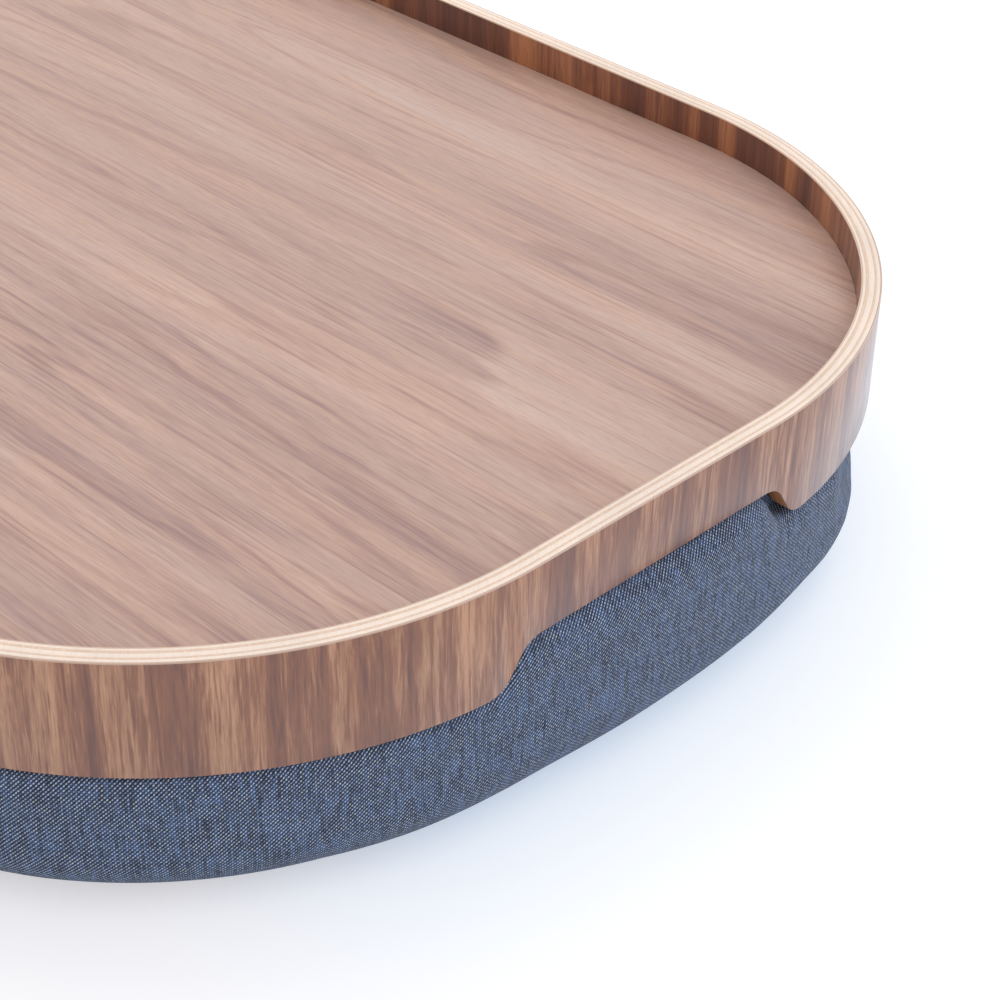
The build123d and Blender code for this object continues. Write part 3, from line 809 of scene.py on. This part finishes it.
def cover_grid():
    """Places of the cover's rows and columns, and what holds each point."""
    cushion, zipper, tray = cushion_sizes(), zip_sizes(), sizes()
    hem_low, hem_high = ZIP_MIDDLE - zipper.hem_half, ZIP_MIDDLE + zipper.hem_half
    hem_half_length = TAPE_HIGH.x - zipper.hem_end
    points, normals, run = stations(cushion.station_step, cushion.fine_step, hem_half_length)
    count = len(points)

    # Shares of each column: how free the slot leaves it, and how far it stands out
    end_depth = 10 * MM
    is_end = np.abs(points[:, 0]) > tray.length / 2 - end_depth
    is_front = points[:, 1] < 0
    reach = np.abs(points[:, 1]) + cushion.far_slot_gap * (points[:, 1] > 0)
    free = np.array([slot_lift(y) if end else 0.0 for y, end in zip(reach, is_end)]) / tray.slot_height
    turn = np.degrees(np.arctan2(np.abs(normals[:, 1]), np.abs(normals[:, 0])))
    front, back, tuck = (np.interp(turn, *zip(*table)) for table in (FRONT_SPREAD, BACK_SPREAD, BACK_TUCK))
    spread = np.where(is_front, front, back) * MM
    tuck = np.where(is_front, 0.0, tuck) * MM
    past_slot = np.abs(points[:, 1] - cushion.slot_bulge_middle) / cushion.slot_bulge_half
    bulge_end, bulge_turn = 2.6, 30
    bulge = np.exp(-past_slot ** bulge_end) * np.clip(1 - turn / bulge_turn, 0, 1)
    spread = spread + cushion.slot_bulge * bulge
    is_back = normals[:, 1] > 0.99
    in_zip = (np.abs(points[:, 0]) < hem_half_length - 0.2 * MM) & is_back
    near_zip = (np.abs(points[:, 0]) < hem_half_length + 8 * MM) & is_back

    rows = []

    def tucked(height):
        low, high = 19.0, 31.0
        share = np.clip((height / MM - low) / (high - low), 0.0, 1.0)
        return tuck * share * share * (3 - 2 * share)

    def add_row(offset, height, hold):
        rows.append([np.broadcast_to(value, count) for value in (offset, height, hold)])

    # The plug inside the rim, the shelf under the rim's edge and the first part of the side, in mm
    wall_top, shelf, swell_start, swell_end = 58.0, 44.5, 30.0, 39.0
    rim_edge, edge_softness, held_above = 41.5, 2.5, 42
    full_spread, no_spread = 36.0, 44.0
    shelf_out = -6.6
    lift = free * tray.slot_height
    proud, drawn_in = np.maximum(spread, 0.0), np.minimum(spread, 0.0) + tuck
    for out, up in PLUG_ROWS:
        follow = np.clip((up - swell_start) / (swell_end - swell_start), 0.0, 1.0)
        if up > shelf:
            follow = np.clip((wall_top - up) / (wall_top - shelf), 0.0, 1.0)
        height = up * MM + lift * follow
        round_off = 0.8 * MM * free * exp(-((up - rim_edge) / edge_softness) ** 2)
        share = np.clip((no_spread - up) / (no_spread - full_spread), 0.0, 1.0)
        offset = out * MM + proud * np.clip(share + 0.5 * free * share, 0.0, 1.0) - round_off
        if out > shelf_out:
            offset = np.maximum(offset + drawn_in, shelf_out * MM)
        add_row(offset, height, 1.0 if up > held_above else 0.0)

    # The side, with the zip's room sunk into its back
    for height in side_rows(hem_low, hem_high, cushion.widest_height):
        offset = np.maximum(spread + tucked(height), shelf_out * MM)
        if hem_low + 0.2 * MM < height < hem_high - 0.2 * MM:
            offset[in_zip] = spread[in_zip] - zipper.recess
        add_row(offset, height, np.where(near_zip, 1.0, 0.0))
    widest_row = len(rows) - 1

    # The lower edge, with the seam pulled in
    seam_depth, seam_half, held_from = 0.9 * MM, 0.6, 66
    for angle in UNDER_ANGLES:
        bend = radians(angle)
        groove = seam_depth * exp(-((angle - SEAM_ANGLE) / seam_half) ** 2)
        height = max(cushion.widest_height - (cushion.under_depth - groove) * sin(bend), 0.0)
        offset = spread - (cushion.turn_under + groove) * (1 - cos(bend)) - groove * 0.4
        add_row(offset, height, 1.0 if angle > held_from else 0.0)
    return points, normals, run, rows, widest_row


def spine_rows(ring, shares, reach):
    """Rings that close a flat panel towards a line along its middle, a little short of the reach."""
    spine = ring.copy()
    spine[:, 0] = np.clip(ring[:, 0], -reach, reach) * 0.98
    spine[:, 1] = 0.0
    return [ring * (1 - share) + spine * share for share in shares]


def closed_cover(name, rings, maps, columns_run):
    """Joins the rings to one closed mesh with a map in metres."""
    count = len(rings[0])
    points = np.concatenate(rings)
    faces, flat = [], []
    for row in range(len(rings) - 1):
        for column in range(count):
            after = (column + 1) % count
            start, below = row * count, (row + 1) * count
            faces.append((start + column, below + column, below + after, start + after))
            if maps[row] is None or maps[row + 1] is None:
                flat.extend(points[i][:2] for i in faces[-1])
            else:
                left, right = columns_run[column], columns_run[column + 1]
                high, low = maps[row], maps[row + 1]
                flat.extend([(left, high[column]), (left, low[column]),
                             (right, low[after]), (right, high[after])])
    last = (len(rings) - 1) * count
    for loop in (list(range(count)), list(range(last + count - 1, last - 1, -1))):
        faces.append(loop)
        flat.extend(points[i][:2] for i in loop)
    mesh = bpy.data.meshes.new(name)
    mesh.from_pydata(points.tolist(), [], faces)
    layer = mesh.uv_layers.new(name="weave")
    layer.data.foreach_set("uv", np.array(flat, dtype=float).ravel())
    mesh.validate()
    return mesh


def swell(rings, holds, run):
    """How far the stuffing pushes each point of a stack of rings, from cloth blown up on a coarser net."""
    cushion = cushion_sizes()
    count = len(rings[0])
    columns = [0]
    for column in range(count):
        if min(run[column] - run[columns[-1]], run[-1] - run[column]) >= cushion.net_step:
            columns.append(column)
    rows = sorted(set(range(0, len(rings), cushion.net_rows)) | {len(rings) - 1})
    net = closed_cover("swell_net", [rings[row][columns] for row in rows], [None] * len(rows), None)
    outward(net)
    piece = new_piece("swell_net", net)
    start = np.array([v.co for v in net.vertices])
    held = np.concatenate([holds[row][columns] for row in rows])
    piece.vertex_groups.new(name="held").add([int(i) for i in np.flatnonzero(held > 0.5)], 1.0, "REPLACE")
    cloth = piece.modifiers.new("Cloth", "CLOTH")
    settings = {
        "quality": 5, "mass": 0.3, "tension_stiffness": 15, "compression_stiffness": 15,
        "shear_stiffness": 5, "bending_stiffness": 0.5, "use_pressure": True,
        "uniform_pressure_force": cushion.swell_pressure, "vertex_group_mass": "held",
    }
    for key, value in settings.items():
        setattr(cloth.settings, key, value)
    cloth.settings.effector_weights.gravity = 0.0
    cloth.collision_settings.use_collision = False
    cloth.point_cache.frame_start = 1
    cloth.point_cache.frame_end = cushion.swell_frames
    for number in range(1, cushion.swell_frames + 1):
        bpy.context.scene.frame_set(number)
    built = piece.evaluated_get(bpy.context.evaluated_depsgraph_get())
    moved = np.array([v.co for v in built.data.vertices]) - start
    bpy.data.objects.remove(piece)
    bpy.context.scene.frame_set(1)

    # No point goes past the limit, and the points between the net's take their share
    size = np.maximum(np.linalg.norm(moved, axis=1, keepdims=True), 1e-9)
    moved = moved / size * cushion.swell_limit * np.tanh(size / cushion.swell_limit)
    moved = moved.reshape(len(rows), len(columns), 3)
    wrapped = np.concatenate([moved, moved[:, :1]], axis=1)
    net_run = [run[column] for column in columns] + [run[-1]]
    by_column = np.empty((len(rows), count, 3))
    full = np.empty((len(rings), count, 3))
    for axis in range(3):
        for i in range(len(rows)):
            by_column[i, :, axis] = np.interp(run[:-1], net_run, wrapped[i, :, axis])
        for j in range(count):
            full[:, j, axis] = np.interp(np.arange(len(rings)), rows, by_column[:, j, axis])
    return full


def stuffed_piece(mesh, name, materials, nodes_stood_for):
    """A padded piece of the cushion, its outer side out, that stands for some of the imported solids."""
    piece = new_piece(name, mesh)
    outward(mesh)
    for material in materials:
        mesh.materials.append(bpy.data.materials[material])
    mesh.shade_smooth()
    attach(piece, "cushion")
    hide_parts(*nodes_stood_for)


class LAPTRAY_OT_cushion(bpy.types.Operator):
    """Makes the stuffed cover and the bead bag inside it"""
    bl_idname = "laptray.cushion"
    bl_label = "Cushion"

    def execute(self, context):
        cushion, tray = cushion_sizes(), sizes()
        points, normals, run, rows, widest_row = cover_grid()
        spine_reach = tray.length / 2 - tray.corner_radius
        shares = (0.05, 0.15, 0.3, 0.5, 0.7, 0.85, 0.98)
        body = [np.column_stack([points + normals * offset[:, None], height]) for offset, height, _ in rows]
        top = spine_rows(body[0], shares[::-1], spine_reach)
        bottom = spine_rows(body[-1], shares, spine_reach)
        flat_map, fixed = [None] * len(shares), [np.ones(len(points))] * len(shares)

        # The map's height is the distance down the cloth from its widest line
        steps = [np.linalg.norm(after - before, axis=1) for before, after in zip(body, body[1:])]
        depth = np.concatenate([np.zeros((1, len(points))), np.cumsum(steps, axis=0)])
        maps = flat_map + list(depth[widest_row] - depth) + flat_map
        holds = fixed + [hold for _, _, hold in rows] + fixed
        rings = top + body + bottom
        pair = 2 * cushion.thread_pitch
        run_scaled = run * (round(run[-1] / pair) * pair / run[-1])
        rings = [ring + push for ring, push in zip(rings, swell(rings, holds, run))]
        rings = [np.column_stack([ring[:, :2], np.maximum(ring[:, 2], 0.0)]) for ring in rings]
        mesh = closed_cover("cushion_cover", rings, maps, run_scaled)
        panel_faces = len(points) * (len(shares) + 2)
        for face in mesh.polygons[:panel_faces]:
            face.material_index = 1
        stuffed_piece(mesh, "cushion_cover", ("Cushion cloth", "Lining cloth"),
                      ("cushion_side_band", "cushion_bottom_panel", "cushion_top_panel"))

        inset = 4.5 * MM
        least_tuck = -2 * MM
        bag_rows = []
        for offset, height, _ in rows[2::3] + [rows[-1]]:
            lifted = np.clip(height, inset, PANEL_LOW.z - inset)
            inwards = (np.minimum(offset, least_tuck) - inset)[:, None]
            bag_rows.append(np.column_stack([points + normals * inwards, lifted])[::2])
        bag_shares = (0.2, 0.6, 0.98)
        bag_rings = spine_rows(bag_rows[0], bag_shares[::-1], spine_reach) + bag_rows
        bag_rings += spine_rows(bag_rows[-1], bag_shares, spine_reach)
        bag_mesh = closed_cover("bead_bag", bag_rings, [None] * len(bag_rings), None)
        stuffed_piece(bag_mesh, "bead_bag", ("Liner cloth",),
                      ("bead_liner_upper", "bead_liner_lower", "bead_filling"))
        return {"FINISHED"}


# The zip

def stitch_group():
    """A row of short thread stitches along a path."""
    nodes, source, result = new_tree("GeometryNodeTree", "Stitches", {
        "Geometry": "Geometry", "Pitch": 0.003, "Stitch Length": 0.002, "Thread Radius": 0.0002,
        "Material": "Material",
    }, {"Geometry": "Geometry"})
    path = nodes.out("GeometryNodeMeshToCurve", {"Mesh": source["Geometry"]})
    marks = nodes.add("GeometryNodeCurveToPoints", {"Curve": path, "Length": source["Pitch"]}, mode="LENGTH")
    tangent = Value(nodes, marks.outputs["Tangent"])
    thickness = source["Thread Radius"] * 2.0
    placed = nodes.out("GeometryNodeInstanceOnPoints", {
        "Points": Value(nodes, marks.outputs["Points"]),
        "Instance": nodes.out("GeometryNodeMeshUVSphere", {"Segments": 6, "Rings": 6, "Radius": 0.5}),
        "Rotation": nodes.out("FunctionNodeAlignRotationToVector", {"Vector": tangent}, axis="X"),
        "Scale": nodes.join(source["Stitch Length"], thickness, thickness),
    })
    give_out(nodes, result, placed, source["Material"])
    return nodes.tree


class LAPTRAY_OT_zip(bpy.types.Operator):
    """Finishes the zip and sews it in"""
    bl_idname = "laptray.zip"
    bl_label = "Zip"

    def execute(self, context):
        zipper, cushion = zip_sizes(), cushion_sizes()
        dress_nodes({
            "zip_tape_upper": "Zip tape", "zip_tape_lower": "Zip tape",
            "zip_teeth_upper": "Zip teeth", "zip_teeth_lower": "Zip teeth",
            "zip_stops": "Zip metal", "zip_slider": "Zip metal", "zip_pull": "Zip metal",
        })
        half_length = TAPE_HIGH.x - zipper.hem_end + zipper.stitch_inset
        half_height = zipper.hem_half + zipper.stitch_inset
        face = RIM_HIGH.y + cushion.side_spread
        corners = [(x * half_length, face, ZIP_MIDDLE + z * half_height)
                   for x, z in ((-1, -1), (1, -1), (1, 1), (-1, 1))]
        path = bpy.data.meshes.new("zip_stitches")
        path.from_pydata(corners, [(0, 1), (1, 2), (2, 3), (3, 0)], [])
        piece = grown("zip_stitches", stitch_group(), {
            "Pitch": zipper.stitch_pitch, "Stitch Length": zipper.stitch_length,
            "Thread Radius": zipper.stitch_radius, "Material": bpy.data.materials["Sewing thread"],
        }, path)
        piece.data.shade_smooth()
        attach(piece, "cushion")
        return {"FINISHED"}


# The stage

def stage_floor(base):
    """A pale floor, which the camera sees glow white except in the object's shade."""
    half, level = 6.0, -0.1 * MM
    left_shade, right_shade = (0.57, 0.57, 0.54, 1.0), (0.70, 0.59, 0.44, 1.0)
    brightest = (1.10, 1.085, 1.075)
    mesh = bpy.data.meshes.new("stage_floor")
    mesh.from_pydata([(x * half, y * half, level) for x, y in ((-1, -1), (1, -1), (1, 1), (-1, 1))],
                     [], [(0, 1, 2, 3)])
    material, nodes, shader = new_material("Stage", {
        "Base Color": colour(base), "Roughness": 0.9, "Specular IOR Level": 0.0})
    sight_ray = nodes.out("ShaderNodeLightPath", output="Is Camera Ray")
    across = nodes.dot(nodes.place(), (0.72, 0.69, 0.0))
    shade = nodes.mix(nodes.ramp(across, (0.06, 0.16, 0.0, 1.0)), left_shade, right_shade)
    glow = nodes.vectors("SUBTRACT", brightest, shade)
    shown = nodes.out("ShaderNodeAddShader", {
        0: nodes.out("ShaderNodeBsdfDiffuse", {"Color": shade}),
        1: nodes.out("ShaderNodeEmission", {"Color": glow, "Strength": 1.0})})
    blend = nodes.out("ShaderNodeMixShader", {0: sight_ray, 1: Value(nodes, shader.outputs[0]), 2: shown})
    nodes.feed(material.node_tree.nodes["Material Output"].inputs[0], blend)
    mesh.materials.append(material)
    new_piece("stage_floor", mesh)


def stage_world(scene):
    """White where it is seen or mirrored, and as light cooler on the right than on the left."""
    scene.world = bpy.data.worlds.new("Soft studio")
    scene.world.use_nodes = True
    left_light, right_light = (0.76, 0.72, 0.68, 1.0), (1.22, 1.33, 1.53, 1.0)
    sky = Nodes(scene.world.node_tree)
    light = sky.add("ShaderNodeLightPath").outputs
    sight, mirrored, through = (
        Value(sky, light[name]) for name in ("Is Camera Ray", "Is Glossy Ray", "Is Transmission Ray"))
    seen = sky.math("MAXIMUM", sight, sky.math("MAXIMUM", mirrored, through))
    aim = sky.out("ShaderNodeTexCoord", output="Generated")
    side = sky.ramp(sky.dot(aim, TO_RIGHT_CORNER), (-0.9, 0.9, 0.0, 1.0))
    tint = sky.mix(side, left_light, right_light)
    sky.fill(scene.world.node_tree.nodes["Background"].inputs, {
        "Color": sky.mix(seen, tint, WHITE), "Strength": seen * 0.12 + 0.88})


def stage_lamp(scene):
    """A soft warm light overhead."""
    data = bpy.data.lights.new("Overhead softbox", "AREA")
    data.shape = "RECTANGLE"
    data.size = 2.0
    data.size_y = 1.4
    data.energy = 8.0
    data.color = (1.0, 0.97, 0.93)
    lamp = bpy.data.objects.new("Overhead softbox", data)
    scene.collection.objects.link(lamp)
    lamp.location = (-0.5, 0.6, 1.6)
    lamp.rotation_euler = (-lamp.location).to_track_quat("-Z", "Y").to_euler()


def stage_camera(scene):
    """The camera over the tray's near corner; heading, tilt and roll are in radians."""
    heading, tilt, roll = 2.3336, 0.6034, 0.0252
    place = Vector((0.5773, -0.3909, 0.4202))
    sight = Vector((cos(tilt) * cos(heading), cos(tilt) * sin(heading), -sin(tilt)))
    level_right = sight.cross(Vector((0, 0, 1))).normalized()
    level_up = level_right.cross(sight)
    right = level_right * cos(roll) + level_up * sin(roll)
    up = level_up * cos(roll) - level_right * sin(roll)
    data = bpy.data.cameras.new("Camera")
    data.sensor_width = 36.0
    data.sensor_fit = "HORIZONTAL"
    data.lens = 87.76
    data.clip_start = 0.01
    camera = bpy.data.objects.new("Camera", data)
    scene.collection.objects.link(camera)
    turn = Matrix((right, up, -sight)).transposed().to_4x4()
    turn.translation = place
    camera.matrix_world = turn
    scene.camera = camera


class LAPTRAY_OT_stage(bpy.types.Operator):
    """Sets the pale floor, the soft light and the camera"""
    bl_idname = "laptray.stage"
    bl_label = "Stage"

    def execute(self, context):
        scene = context.scene
        scene.view_settings.view_transform = "Standard"
        stage_floor(scene.lap_tray_colours.stage)
        stage_world(scene)
        stage_lamp(scene)
        stage_camera(scene)
        return {"FINISHED"}


class LAPTRAY_PT_panel(bpy.types.Panel):
    """Lists the tray's sizes, colours and pieces"""
    bl_idname = "LAPTRAY_PT_panel"
    bl_label = "Lap tray"
    bl_space_type = "VIEW_3D"
    bl_region_type = "UI"
    bl_category = "Lap Tray"

    def draw(self, context):
        for group_name in GROUPS:
            group = getattr(context.scene, group_name)
            for name in group.bl_rna.properties.keys():
                if name not in ("rna_type", "name"):
                    self.layout.prop(group, name)
        for operator in STEPS:
            self.layout.operator(operator.bl_idname)


STEPS = (LAPTRAY_OT_finishes, LAPTRAY_OT_rim, LAPTRAY_OT_floor, LAPTRAY_OT_cushion, LAPTRAY_OT_zip,
         LAPTRAY_OT_stage)
GROUPS = {
    "lap_tray_sizes": LapTraySizes,
    "lap_cushion_sizes": LapCushionSizes,
    "lap_zip_sizes": LapZipSizes,
    "lap_tray_colours": LapTrayColours,
}


def register():
    for kind in (*GROUPS.values(), *STEPS, LAPTRAY_PT_panel):
        bpy.utils.register_class(kind)
    for name, kind in GROUPS.items():
        setattr(bpy.types.Scene, name, PointerProperty(type=kind))


def unregister():
    for name in GROUPS:
        delattr(bpy.types.Scene, name)
    for kind in (LAPTRAY_PT_panel, *reversed(STEPS), *reversed(tuple(GROUPS.values()))):
        bpy.utils.unregister_class(kind)


def main():
    register()
    for thing in [o for o in bpy.data.objects if o.type in {"LIGHT", "CAMERA"}]:
        bpy.data.objects.remove(thing)
    bpy.ops.laptray.finishes()
    bpy.ops.laptray.rim()
    bpy.ops.laptray.floor()
    bpy.ops.laptray.cushion()
    bpy.ops.laptray.zip()
    bpy.ops.laptray.stage()


if __name__ == "__main__":
    main()
